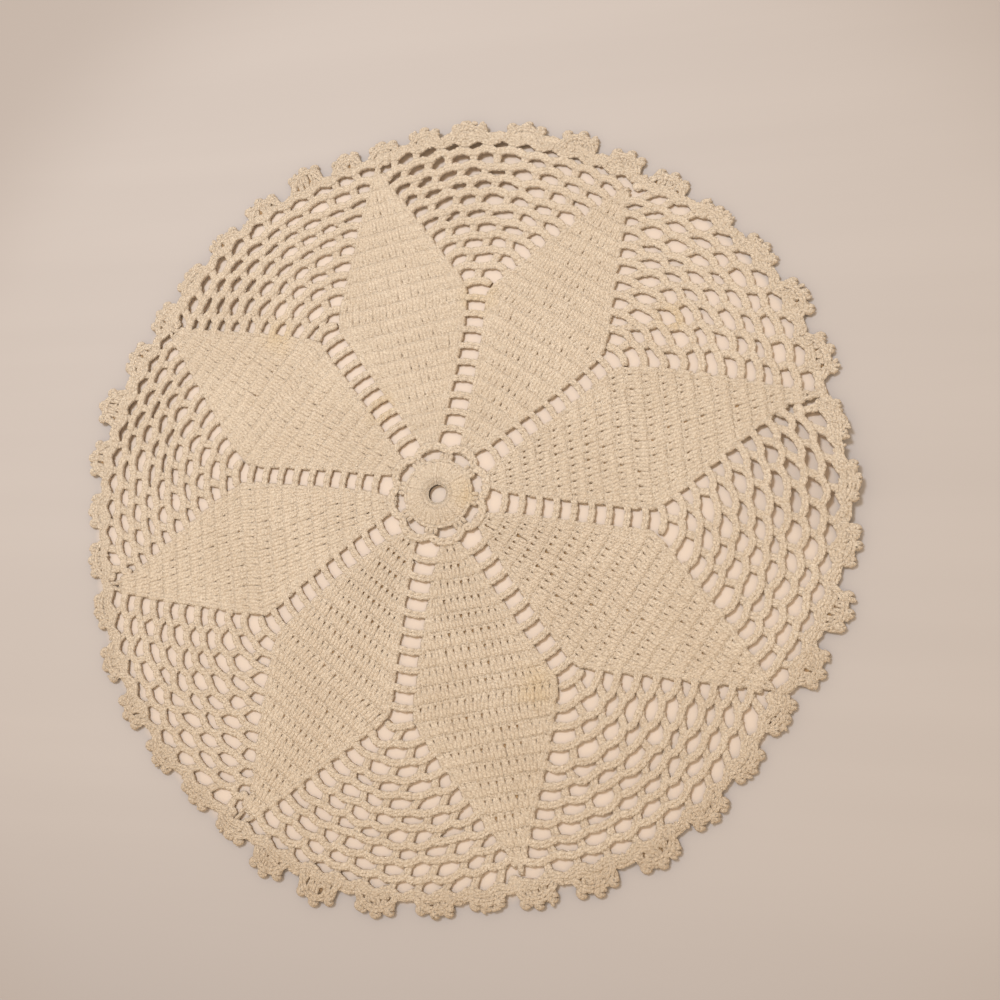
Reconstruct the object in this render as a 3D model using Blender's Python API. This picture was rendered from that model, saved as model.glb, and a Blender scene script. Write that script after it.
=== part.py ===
"""Crocheted lace doily, modelled as one flat solid.

Eight solid kite-shaped petals stand round a padded ring.  Ladders of bars part the
petals, sectors of open net fill the angles between their points, and an edging of
three-nub scallops runs all the way round.  Every plan size is worked out round the
ring's centre, and the finished mat is then shifted so that its bounding box is
centred on the origin, with its underside on the plane Z = 0.  Metres, +Z up.
"""

import math
from collections import namedtuple

import bpy
import bmesh
from mathutils import Vector
from mathutils.geometry import delaunay_2d_cdt

MM = 0.001

# Sheet.
THICKNESS = 1.7 * MM
ROW_CREST = 0.35 * MM
ROW_TROUGH = -0.20 * MM
NUB_CREST = 0.45 * MM

# Padded ring at the centre.
RING_HOLE_RADIUS = 2.3 * MM
RING_CREST_RADIUS = 5.6 * MM
RING_FOOT_RADIUS = 8.9 * MM
RING_CREST = 1.2 * MM
RING_SIDES = 12

# Openings between the ring and the petals, and along the ladders: width round the
# centre by height outward.
SLIT_RADIUS = 10.4 * MM
SLIT_SIZE = (4.7 * MM, 1.4 * MM)
BASE_HOLE_RADIUS = 13.9 * MM
BASE_HOLE_SIZE = (5.2 * MM, 4.4 * MM)
LADDER_FIRST = 20.1 * MM
LADDER_PITCH = 4.71 * MM
LADDER_HOLES = 9
LADDER_HOLE_SIZE = (4.7 * MM, 2.9 * MM)

# Petals: straight rows across each petal's centre line.
PETAL_FIRST_ROW = 15.0 * MM
ROW_PITCH = 4.3 * MM
PETAL_ROWS = 19
ROW_POINT_SPACING = 12.5 * MM
ROW_CLEARANCE = 1.1 * MM
ROW_PROBE = 0.5 * MM
PETAL_REACH = 24.0 * MM

# Net: rounds of cells between the petals, from the inside out.
NET_FIRST = 63.4 * MM
NET_ROUND_PITCH = 6.95 * MM
NET_CELLS = (2, 3, 4, 5, 6, 6)
NET_WIDTHS = (17.4 * MM, 29.4 * MM, 41.6 * MM, 53.8 * MM, 66.0 * MM, 78.0 * MM)
NET_CORD = 2.9 * MM
NET_BULGE = 1.0 * MM
NET_SAG = 2.6 * MM
NET_LEAN = 0.8 * MM

# Edging.
NOTCH_RADIUS = 102.2 * MM

# The rim stands a little off the surface in places.
LIFT_START = 66.0 * MM
LIFT_END = 104.0 * MM

# Outlines of the openings and of one scallop, as fractions of their half sizes.
OBLONG = ((-1.0, -1.0), (1.0, -1.0), (1.0, 1.0), (-1.0, 1.0))
CELL = ((-1.0, 0.0), (-0.62, -1.0), (0.62, -1.0), (1.0, 0.0), (0.62, 1.0), (-0.62, 1.0))
SCALLOP = (
    (-0.86, 0.00),
    (-0.70, 0.50),
    (-0.52, 0.86),
    (-0.34, 0.86),
    (-0.21, 0.74),
    (-0.10, 1.00),
    (0.10, 1.00),
    (0.21, 0.74),
    (0.34, 0.86),
    (0.52, 0.86),
    (0.70, 0.50),
    (0.86, 0.00),
)
NUB_ACROSS = 0.42

# One row for each sector of net and the petal after it, anticlockwise from +X.
#   ladder_deg   direction of the ladder at its inner end
#   net_deg      direction of the ladder's outer end and of the net's middle
#   petal_deg    centre line of the petal that follows
#   spread_mm    how much further out this sector's net lies than the others
#   scallops     direction in degrees and reach in millimetres of each scallop
Sector = namedtuple("Sector", "ladder_deg net_deg petal_deg spread_mm scallops")
SECTORS = (
    Sector(36.0, 38.0, 59.8, 0.0,
           ((20.3, 107.2), (29.0, 107.8), (37.5, 107.0), (46.3, 105.8), (55.0, 107.2))),
    Sector(80.5, 82.3, 104.0, 1.0,
           ((62.5, 107.8), (70.3, 108.8), (78.7, 108.2), (88.5, 107.8), (95.5, 107.2),
            (103.0, 106.4))),
    Sector(126.0, 127.3, 149.5, -0.5,
           ((109.5, 107.4), (116.3, 110.0), (124.7, 108.6), (133.0, 107.0), (141.0, 106.2),
            (149.0, 106.6))),
    Sector(172.0, 173.5, 194.5, 0.3,
           ((157.2, 108.2), (165.8, 110.6), (174.0, 109.0), (182.5, 106.8), (190.3, 106.4))),
    Sector(216.0, 218.7, 239.2, 0.0,
           ((199.0, 106.0), (207.8, 107.8), (216.0, 108.0), (224.2, 107.0), (232.3, 105.4))),
    Sector(262.5, 264.0, 286.0, 0.3,
           ((239.8, 105.6), (247.2, 108.6), (255.5, 109.8), (264.5, 108.6), (273.3, 107.0),
            (280.8, 105.4))),
    Sector(309.0, 308.7, 331.0, 0.0,
           ((287.6, 107.0), (295.6, 108.2), (304.6, 108.4), (313.0, 107.2), (321.0, 106.0),
            (328.8, 105.6))),
    Sector(352.5, 354.0, 374.2, 0.2,
           ((336.0, 107.6), (344.0, 108.8), (353.0, 107.4), (361.8, 106.2), (370.3, 104.8))),
)

# Where the rim is lifted: direction, height and half width of the lifted stretch.
Lift = namedtuple("Lift", "deg height half_deg")
LIFTS = (
    Lift(2.0, 2.0 * MM, 17.0),
    Lift(92.0, 2.6 * MM, 26.0),
    Lift(140.0, 1.6 * MM, 22.0),
    Lift(166.0, 2.4 * MM, 18.0),
)

COTTON = (0.66, 0.54, 0.41, 1.0)


def polar(radius, degrees):
    """Return the plan point at a radius and a direction from the ring's centre."""
    angle = math.radians(degrees)
    return (radius * math.cos(angle), radius * math.sin(angle))


def turned(outline, size, radius, degrees):
    """Scale an outline to a size and stand it at a radius, with its height outward.

    Seen with its outward side up, the outline keeps the way it runs.
    """
    cos_a = math.cos(math.radians(degrees))
    sin_a = math.sin(math.radians(degrees))
    points = []
    for across, out in outline:
        side = across * size[0] / 2
        reach = radius + out * size[1] / 2
        points.append((reach * cos_a + side * sin_a, reach * sin_a - side * cos_a))
    return points


def ring_hole():
    """Return the round hole at the middle of the padded ring."""
    return [polar(RING_HOLE_RADIUS, i * 360 / RING_SIDES) for i in range(RING_SIDES)]


def ladder_direction(sector, radius):
    """Return a ladder's direction at a radius: it swings a little on its way out."""
    last = LADDER_FIRST + (LADDER_HOLES - 1) * LADDER_PITCH
    share = min(max((radius - LADDER_FIRST) / (last - LADDER_FIRST), 0.0), 1.0)
    return sector.ladder_deg + share * (sector.net_deg - sector.ladder_deg)


def ladder_openings(sector):
    """Return the opening at a ladder's foot and those between its bars."""
    openings = [turned(CELL, BASE_HOLE_SIZE, BASE_HOLE_RADIUS, sector.ladder_deg)]
    for i in range(LADDER_HOLES):
        radius = LADDER_FIRST + i * LADDER_PITCH
        degrees = ladder_direction(sector, radius)
        openings.append(turned(OBLONG, LADDER_HOLE_SIZE, radius, degrees))
    return openings


def net_openings(sector):
    """Return the cells of one sector of net; each round bows and leans a little."""
    openings = []
    for i, (count, width) in enumerate(zip(NET_CELLS, NET_WIDTHS)):
        middle = NET_FIRST + i * NET_ROUND_PITCH + sector.spread_mm * MM
        cell = width / count
        size = (cell - NET_CORD, NET_ROUND_PITCH - NET_CORD)
        for j in range(count):
            offset = (j - (count - 1) / 2) * cell
            across = offset / (width / 2)
            radius = middle + NET_BULGE - NET_SAG * across * across - NET_LEAN * across
            degrees = sector.net_deg + math.degrees(offset / middle)
            openings.append(turned(CELL, size, radius, degrees))
    return openings


def all_openings():
    """Return every opening of the doily as a closed outline."""
    openings = [ring_hole()]
    for sector in SECTORS:
        openings.append(turned(OBLONG, SLIT_SIZE, SLIT_RADIUS, sector.petal_deg))
        openings += ladder_openings(sector)
        openings += net_openings(sector)
    return openings


def scalloped_edge():
    """Return the outer edge and the middle of each nub on it.

    A scallop runs from the notch half way to its neighbour on one side to the notch on
    the other, and its outline is stretched to fit between them.
    """
    scallops = [scallop for sector in SECTORS for scallop in sector.scallops]
    edge = []
    nubs = []
    for i, (degrees, reach_mm) in enumerate(scallops):
        before = scallops[i - 1][0] - (360 if i == 0 else 0)
        after = scallops[(i + 1) % len(scallops)][0] + (360 if i + 1 == len(scallops) else 0)
        rise = reach_mm * MM - NOTCH_RADIUS
        halves = ((degrees - before) / 2, (after - degrees) / 2)
        for across, out in SCALLOP:
            half = halves[0] if across < 0 else halves[1]
            edge.append(polar(NOTCH_RADIUS + out * rise, degrees + across * half))
        for across in (-NUB_ACROSS, 0.0, NUB_ACROSS):
            half = halves[0] if across < 0 else halves[1]
            nubs.append(polar(NOTCH_RADIUS + 0.35 * rise, degrees + across * half))
    return edge, nubs


def distance_to_outline(point, outline):
    """Return the distance from a point to a closed outline."""
    best = math.inf
    for a, b in zip(outline, outline[1:] + outline[:1]):
        along = (b[0] - a[0], b[1] - a[1])
        length_sq = along[0] ** 2 + along[1] ** 2
        share = ((point[0] - a[0]) * along[0] + (point[1] - a[1]) * along[1]) / length_sq
        share = min(max(share, 0.0), 1.0)
        gap = math.hypot(point[0] - a[0] - share * along[0], point[1] - a[1] - share * along[1])
        best = min(best, gap)
    return best


def row_line(y, degrees, openings):
    """Return evenly spaced points along one row of a petal, clear of every opening."""
    cos_a = math.cos(math.radians(degrees))
    sin_a = math.sin(math.radians(degrees))

    def place(x):
        return (y * cos_a - x * sin_a, y * sin_a + x * cos_a)

    reach = PETAL_REACH + 2 * ROW_POINT_SPACING
    near = [o for o in openings if math.dist(o[0], place(0.0)) < reach]
    ends = []
    for side in (-1, 1):
        x = 0.0
        while x < PETAL_REACH:
            probe = place(side * (x + ROW_PROBE))
            if min(distance_to_outline(probe, outline) for outline in near) < ROW_CLEARANCE:
                break
            x += ROW_PROBE
        ends.append(side * x)
    width = ends[1] - ends[0]
    if width < 2 * ROW_PROBE:
        return []
    steps = max(1, round(width / ROW_POINT_SPACING))
    return [place(ends[0] + width * i / steps) for i in range(steps + 1)]


def petal_rows(openings):
    """Return the crest and trough lines of every petal, each with its height."""
    lines = []
    for sector in SECTORS:
        for i in range(2 * PETAL_ROWS + 1):
            y = PETAL_FIRST_ROW + i * ROW_PITCH / 2
            line = row_line(y, sector.petal_deg, openings)
            if line:
                lines.append((line, ROW_TROUGH if i % 2 else ROW_CREST))
    return lines


def lift(x, y):
    """Return how far the mat stands off the surface at a plan point."""
    radius = math.hypot(x, y)
    share = min(max((radius - LIFT_START) / (LIFT_END - LIFT_START), 0.0), 1.0)
    ramp = share * share * (3 - 2 * share)
    degrees = math.degrees(math.atan2(y, x))
    total = 0.0
    for place in LIFTS:
        away = abs((degrees - place.deg + 180) % 360 - 180) / place.half_deg
        if away < 1:
            total = max(total, place.height * math.cos(away * math.pi / 2) ** 2)
    return ramp * total


def triangulate(points, loops, lines):
    """Triangulate the plan inside the first loop, keeping the lines as edges.

    Every loop runs anticlockwise.  A triangle that lies in any other loop is in an
    opening, and is left out.  Returns triangles as triples of indices into points.
    """
    edges = [pair for line in lines for pair in zip(line, line[1:])]
    coords = [Vector((x / MM, y / MM)) for x, y in points]
    result = delaunay_2d_cdt(coords, edges, loops, 1, 1e-5)
    source = [origins[0] for origins in result[3]]
    return [tuple(source[i] for i in face)
            for face, inside in zip(result[2], result[5]) if inside == [0]]


def build_doily():
    """Build the whole mat as one closed mesh."""
    openings = all_openings()
    edge, nubs = scalloped_edge()
    points = []
    heights = []

    def add(places, height):
        first = len(points)
        points.extend(places)
        heights.extend([height] * len(places))
        return list(range(first, len(points)))

    loops = [add(outline, 0.0) for outline in [edge] + openings]
    loop_points = len(points)
    lines = [add(line, height) for line, height in petal_rows(openings)]
    crest = add([polar(RING_CREST_RADIUS, i * 360 / RING_SIDES) for i in range(RING_SIDES)],
                RING_CREST)
    foot = add([polar(RING_FOOT_RADIUS, (i + 0.5) * 360 / RING_SIDES)
                for i in range(RING_SIDES)], 0.0)
    lines += [crest + crest[:1], foot + foot[:1]]
    add(nubs, NUB_CREST)

    xs = [x for x, _ in edge]
    ys = [y for _, y in edge]
    shift = (-(min(xs) + max(xs)) / 2, -(min(ys) + max(ys)) / 2)

    bm = bmesh.new()
    top = []
    bottom = []
    for i, (x, y) in enumerate(points):
        base = lift(x, y)
        plan = (x + shift[0], y + shift[1])
        top.append(bm.verts.new((*plan, base + THICKNESS + heights[i])))
        if i < loop_points:
            bottom.append(bm.verts.new((*plan, base)))
    for a, b, c in triangulate(points, loops, lines):
        bm.faces.new((top[a], top[b], top[c]))
    for a, b, c in triangulate(points[:loop_points], loops, []):
        bm.faces.new((bottom[c], bottom[b], bottom[a]))
    for loop in loops:
        for a, b in zip(loop, loop[1:] + loop[:1]):
            bm.faces.new((bottom[a], bottom[b], top[b], top[a]))
    bmesh.ops.triangulate(bm, faces=[face for face in bm.faces if len(face.verts) > 3])
    bmesh.ops.recalc_face_normals(bm, faces=bm.faces)
    mesh = bpy.data.meshes.new("doily")
    bm.to_mesh(mesh)
    bm.free()
    return mesh


def cotton():
    """Return the matt cream cotton that the whole doily is worked in."""
    material = bpy.data.materials.new("cotton")
    material.use_nodes = True
    shader = material.node_tree.nodes["Principled BSDF"]
    shader.inputs["Base Color"].default_value = COTTON
    shader.inputs["Roughness"].default_value = 0.9
    shader.inputs["Metallic"].default_value = 0.0
    return material


def main():
    """Clear the scene and build the doily."""
    for existing in list(bpy.data.objects):
        bpy.data.objects.remove(existing, do_unlink=True)
    mesh = build_doily()
    mesh.materials.append(cotton())
    doily = bpy.data.objects.new("doily", mesh)
    bpy.context.scene.collection.objects.link(doily)


if __name__ == "__main__":
    main()
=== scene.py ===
"""Looks of the crocheted lace doily: its thread, its cotton and the table under it.

The mat is worked from one thread, so every piece here is made of thread: a tube
carried along a path that a formula gives.  A plan position is worked out round the
ring's centre, with +Z up, and Layout.settle() then sets it into the frame of the
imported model.  All lengths are in metres.
"""

from __future__ import annotations

import logging
import math
from dataclasses import dataclass, field
from enum import Enum

import bpy
import numpy as np
from mathutils import Matrix, Vector


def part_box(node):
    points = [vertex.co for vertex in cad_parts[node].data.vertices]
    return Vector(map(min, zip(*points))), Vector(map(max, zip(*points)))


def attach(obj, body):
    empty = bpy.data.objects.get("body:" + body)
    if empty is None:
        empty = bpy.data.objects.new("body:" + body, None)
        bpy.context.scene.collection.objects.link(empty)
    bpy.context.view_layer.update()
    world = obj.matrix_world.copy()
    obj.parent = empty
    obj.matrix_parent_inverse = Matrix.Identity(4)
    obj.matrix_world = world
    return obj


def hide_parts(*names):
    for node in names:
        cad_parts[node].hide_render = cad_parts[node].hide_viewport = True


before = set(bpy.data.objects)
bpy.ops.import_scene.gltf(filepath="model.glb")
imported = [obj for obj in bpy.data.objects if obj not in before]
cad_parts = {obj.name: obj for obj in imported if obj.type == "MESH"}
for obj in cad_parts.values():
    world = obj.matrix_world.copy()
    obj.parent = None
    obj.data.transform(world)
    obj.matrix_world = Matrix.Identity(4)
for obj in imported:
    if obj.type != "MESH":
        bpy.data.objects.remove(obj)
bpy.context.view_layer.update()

LOG = logging.getLogger("doily")
NODE = "doily"
BODY = "root"
MM = 0.001
TURN = 2.0 * math.pi
Array = np.ndarray
Colour = tuple[float, float, float, float]


@dataclass(frozen=True)
class Sector:
    """One sector of net and the petal after it, anticlockwise from +X.

    ladder_deg is the direction of the ladder's inner end, net_deg that of its outer end
    and of the net's middle, petal_deg the centre line of the petal.  spread is how much
    further out this net lies than the others, in millimetres.  slant is how many degrees
    the petal's rows rise towards its anticlockwise edge, and lean how far the net's posts
    lean over, as a share of a loop.  loose is how far the sector's stitches stand apart,
    from 0 where they are closely worked to 1.  gap is half the ladder's width, in
    millimetres.  scallops holds the direction in degrees and the reach in millimetres of
    each scallop.
    """

    ladder_deg: float
    net_deg: float
    petal_deg: float
    spread: float
    slant: float
    lean: float
    loose: float
    gap: float
    scallops: tuple[tuple[float, float], ...]


SECTORS = (
    Sector(36.0, 38.0, 59.8, 0.0, 4.5, 0.16, 0.45, 2.55,
           ((20.3, 107.2), (29.0, 107.8), (37.5, 107.0), (46.3, 105.8), (55.0, 107.2))),
    Sector(80.5, 82.3, 104.0, 1.0, 3.0, 0.07, 0.05, 3.05,
           ((62.5, 107.8), (70.3, 108.8), (78.7, 108.2), (88.5, 107.8), (95.5, 107.2),
            (103.0, 106.4))),
    Sector(126.0, 127.3, 149.5, -0.5, 6.0, 0.08, 0.05, 3.4,
           ((109.5, 107.4), (116.3, 110.0), (124.7, 108.6), (133.0, 107.0), (141.0, 106.2),
            (149.0, 106.6))),
    Sector(172.0, 173.5, 194.5, 0.3, 5.0, 0.06, 0.35, 2.65,
           ((157.2, 108.2), (165.8, 110.6), (174.0, 109.0), (182.5, 106.8), (190.3, 106.4))),
    Sector(216.0, 218.7, 239.2, 0.0, 3.5, 0.03, 1.0, 2.8,
           ((199.0, 106.0), (207.8, 107.8), (216.0, 108.0), (224.2, 107.0), (232.3, 105.4))),
    Sector(262.5, 264.0, 286.0, 0.3, 3.0, 0.13, 0.85, 3.1,
           ((239.8, 105.6), (247.2, 108.6), (255.5, 109.8), (264.5, 108.6), (273.3, 107.0),
            (280.8, 105.4))),
    Sector(309.0, 308.7, 331.0, 0.0, 3.5, 0.16, 0.85, 2.7,
           ((287.6, 107.0), (295.6, 108.2), (304.6, 108.4), (313.0, 107.2), (321.0, 106.0),
            (328.8, 105.6))),
    Sector(352.5, 354.0, 374.2, 0.2, 7.0, 0.15, 0.75, 2.6,
           ((336.0, 107.6), (344.0, 108.8), (353.0, 107.4), (361.8, 106.2), (370.3, 104.8))),
)


@dataclass(frozen=True)
class Lift:
    """A stretch of rim that stands off the table: direction, height and half width."""

    deg: float
    height: float
    half_deg: float


LIFTS = (
    Lift(5.0, 1.9 * MM, 15.0),
    Lift(92.0, 1.5 * MM, 25.0),
    Lift(140.0, 1.05 * MM, 20.0),
    Lift(166.0, 0.75 * MM, 16.0),
)


def smooth(share: Array) -> Array:
    """Return the smooth step 3s^2 - 2s^3 of a share that is first kept within 0 and 1."""
    s = np.clip(share, 0.0, 1.0)
    return s * s * (3.0 - 2.0 * s)


def polar(radius: Array, degrees: Array) -> Array:
    """Return the plan points at radii and directions from the ring's centre."""
    angle = np.radians(degrees)
    return np.stack([radius * np.cos(angle), radius * np.sin(angle)], axis=-1)


def heading(angle: Array) -> Array:
    """Return unit plan directions at angles in radians."""
    return np.stack([np.cos(angle), np.sin(angle)], axis=-1)


def unit(steps: Array) -> Array:
    """Return vectors brought to the length 1; one with no length stays as it is."""
    return steps / np.maximum(np.linalg.norm(steps, axis=-1, keepdims=True), 1e-9)


def square(steps: Array) -> Array:
    """Return the plan parts of vectors, turned a quarter turn anticlockwise."""
    return np.stack([-steps[..., 1], steps[..., 0]], axis=-1)


def at_height(plan: Array, level: Array | float) -> Array:
    """Return plan points as points in space, at one height or at one for each."""
    level = np.broadcast_to(level, plan.shape[:-1])[..., None]
    return np.concatenate([plan, level], axis=-1)


def lengths_along(line: Array) -> Array:
    """Return how far along its line each point lies."""
    steps = np.linalg.norm(np.diff(line, axis=1), axis=-1)
    return np.concatenate([np.zeros((len(line), 1)), np.cumsum(steps, axis=1)], axis=1)


@dataclass
class Layout:
    """Where everything of the doily lies in plan, and how the mat sits on the table.

    DRIFT_X and DRIFT_Y are the waves by which the plan wanders: how many radians each
    turns for a millimetre of x and of y, where it starts, and its size.
    """

    DRIFT_X = ((0.062, 0.031, 0.4, 1.0), (0.05, 0.13, 2.1, 0.4))
    DRIFT_Y = ((-0.042, 0.055, 1.3, 1.0), (0.12, 0.07, 4.0, 0.4))

    ladder_first: float = 20.1 * MM
    ladder_pitch: float = 4.71 * MM
    ladder_holes: int = 9
    base_half: float = 3.65 * MM
    base_from: float = 12.2 * MM
    base_from_ramp: float = 2.2 * MM
    base_to: float = 17.7 * MM
    base_to_ramp: float = 2.0 * MM
    net_first: float = 57.8 * MM
    net_pitch: float = 4.12 * MM
    net_rounds: int = 11
    loop: float = 7.31 * MM
    edge_cord: float = 1.2 * MM
    bow_rounds: float = 3.0
    bulge: float = 1.0 * MM
    sag: float = 2.6 * MM
    lean: float = 0.8 * MM
    notch: float = 102.2 * MM
    lift_start: float = 66.0 * MM
    lift_end: float = 104.0 * MM
    wander: float = 0.45 * MM
    calm_within: float = 20.0 * MM
    probe_reach: float = 25.0 * MM
    probe_step_mm: float = 0.02
    shift: Array = field(init=False)

    def __post_init__(self) -> None:
        """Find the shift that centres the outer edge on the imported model's box."""
        low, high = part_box(NODE)
        tips = np.array([tip for sector in SECTORS for tip in sector.scallops])
        edge = polar(tips[:, 1:] * MM, tips[:, :1] + np.array([[-0.8, 0.0, 0.8]])).reshape(-1, 2)
        middle = (edge.min(axis=0) + edge.max(axis=0)) / 2.0
        centre = np.array([(low[0] + high[0]) / 2.0, (low[1] + high[1]) / 2.0])
        self.shift = centre - middle

    def ladder_deg(self, sector: Sector, radius: Array) -> Array:
        """Return a ladder's direction at a radius: it swings a little on its way out.

        Args:
            sector: the sector of the ladder.
            radius: radii from the centre.

        Returns:
            The directions, in degrees.
        """
        reach = (self.ladder_holes - 1) * self.ladder_pitch
        share = np.clip((radius - self.ladder_first) / reach, 0.0, 1.0)
        return sector.ladder_deg + share * (sector.net_deg - sector.ladder_deg)

    def half_gap(self, sector: Sector, radius: Array) -> Array:
        """Return half the arc from petal to petal at a radius.

        It is a ladder's half width up to the net, where each round adds half a loop.

        Args:
            sector: the sector between the two petals.
            radius: radii from the centre.

        Returns:
            Half the arcs, in metres.
        """
        loops = 1.0 + (radius - self.net_first) / self.net_pitch
        foot = smooth((self.base_to - radius) / self.base_to_ramp)
        foot = foot * smooth((radius - self.base_from) / self.base_from_ramp)
        gap = sector.gap * MM
        gap = gap + (self.base_half - gap) * foot
        return np.maximum(gap, loops * self.loop / 2.0 - self.edge_cord)

    def net_point(self, sector: Sector, rounds: Array, offset: Array) -> Array:
        """Return plan points of the net.

        Args:
            sector: the sector of net.
            rounds: how many rounds out from the hole at the ladder's end.
            offset: how far round from the net's middle, as an arc in metres.

        Returns:
            The points: each round is an arc that bows outward and leans a little.
        """
        radius = self.net_first + rounds * self.net_pitch + sector.spread * MM * smooth(rounds)
        half = (rounds + 1.0) * self.loop / 2.0
        across = offset / half
        bow = self.bulge - self.sag * across**2 - self.lean * across
        out = radius + bow * smooth((rounds + 0.5) / self.bow_rounds)
        return polar(out, sector.net_deg + np.degrees(offset / radius))

    def petal_edges(self, index: int, y: Array) -> tuple[Array, Array]:
        """Return how far a petal reaches to each side of its centre line.

        Args:
            index: the petal, counted with the sector before it.
            y: distances out along the centre line.

        Returns:
            The reach on the clockwise side and on the anticlockwise side.
        """
        here = SECTORS[index]
        after = SECTORS[(index + 1) % len(SECTORS)]
        wrap = 360.0 if index + 1 == len(SECTORS) else 0.0
        x = np.arange(0.0, self.probe_reach, self.probe_step_mm * MM)[None, :]
        radius = np.hypot(x, y[:, None])
        swing = np.degrees(np.arctan2(x, y[:, None]))
        clockwise = here.petal_deg - swing - self.ladder_deg(here, radius)
        onward = self.ladder_deg(after, radius) + wrap - here.petal_deg - swing
        sides = []
        for turn, sector in ((clockwise, here), (onward, after)):
            inside = np.radians(turn) * radius > self.half_gap(sector, radius)
            sides.append(np.cumprod(inside, axis=1).sum(axis=1) * self.probe_step_mm * MM)
        return sides[0], sides[1]

    def lift(self, plan: Array) -> Array:
        """Return how far the mat stands off the table at plan points.

        Each lifted stretch is a squared cosine of direction, times a smooth ramp outward.

        Args:
            plan: plan points round the centre.

        Returns:
            The heights, one for each point.
        """
        radius = np.hypot(plan[..., 0], plan[..., 1])
        ramp = smooth((radius - self.lift_start) / (self.lift_end - self.lift_start))
        degrees = np.degrees(np.arctan2(plan[..., 1], plan[..., 0]))
        total = np.zeros_like(radius)
        for stretch in LIFTS:
            away = np.abs((degrees - stretch.deg + 180.0) % 360.0 - 180.0) / stretch.half_deg
            wave = np.cos(np.clip(away, 0.0, 1.0) * math.pi / 2.0) ** 2
            total = np.maximum(total, stretch.height * wave)
        return ramp * total

    def settle(self, points: Array) -> Array:
        """Set points into the model's frame.

        The plan wanders by sums of sines, the height gains the lift, and the whole is
        shifted onto the model's box.

        Args:
            points: points round the centre, on a flat mat.

        Returns:
            The points in the model's frame.
        """
        plan = points[..., :2]
        calm = smooth(np.hypot(plan[..., 0], plan[..., 1]) / self.calm_within)
        x = plan[..., 0] / MM
        y = plan[..., 1] / MM
        out = np.empty_like(points)
        for axis, waves in enumerate((self.DRIFT_X, self.DRIFT_Y)):
            drift = sum(size * np.sin(by_x * x + by_y * y + start)
                        for by_x, by_y, start, size in waves)
            out[..., axis] = plan[..., axis] + self.wander * calm * drift + self.shift[axis]
        out[..., 2] = points[..., 2] + self.lift(plan)
        return out


def trace(line: Array, share: Array) -> Array:
    """Return the points that lie at shares of the way along lines.

    Args:
        line: lines of evenly counted points, shaped (lines, points, 3).
        share: shares from 0 to 1, one set for all lines or one for each.

    Returns:
        Points shaped (lines, shares, 3), by straight steps between the given points.
    """
    count, knots = line.shape[:2]
    place = np.clip(np.broadcast_to(share, (count, np.shape(share)[-1])), 0.0, 1.0) * (knots - 1)
    before = np.minimum(place.astype(int), knots - 2)
    rest = (place - before)[..., None]
    row = np.arange(count)[:, None]
    return line[row, before] * (1.0 - rest) + line[row, before + 1] * rest


def sideways(line: Array) -> Array:
    """Return, at each point of lines, the unit direction square to the line in plan."""
    return at_height(unit(square(np.gradient(line, axis=1))), 0.0)


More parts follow.
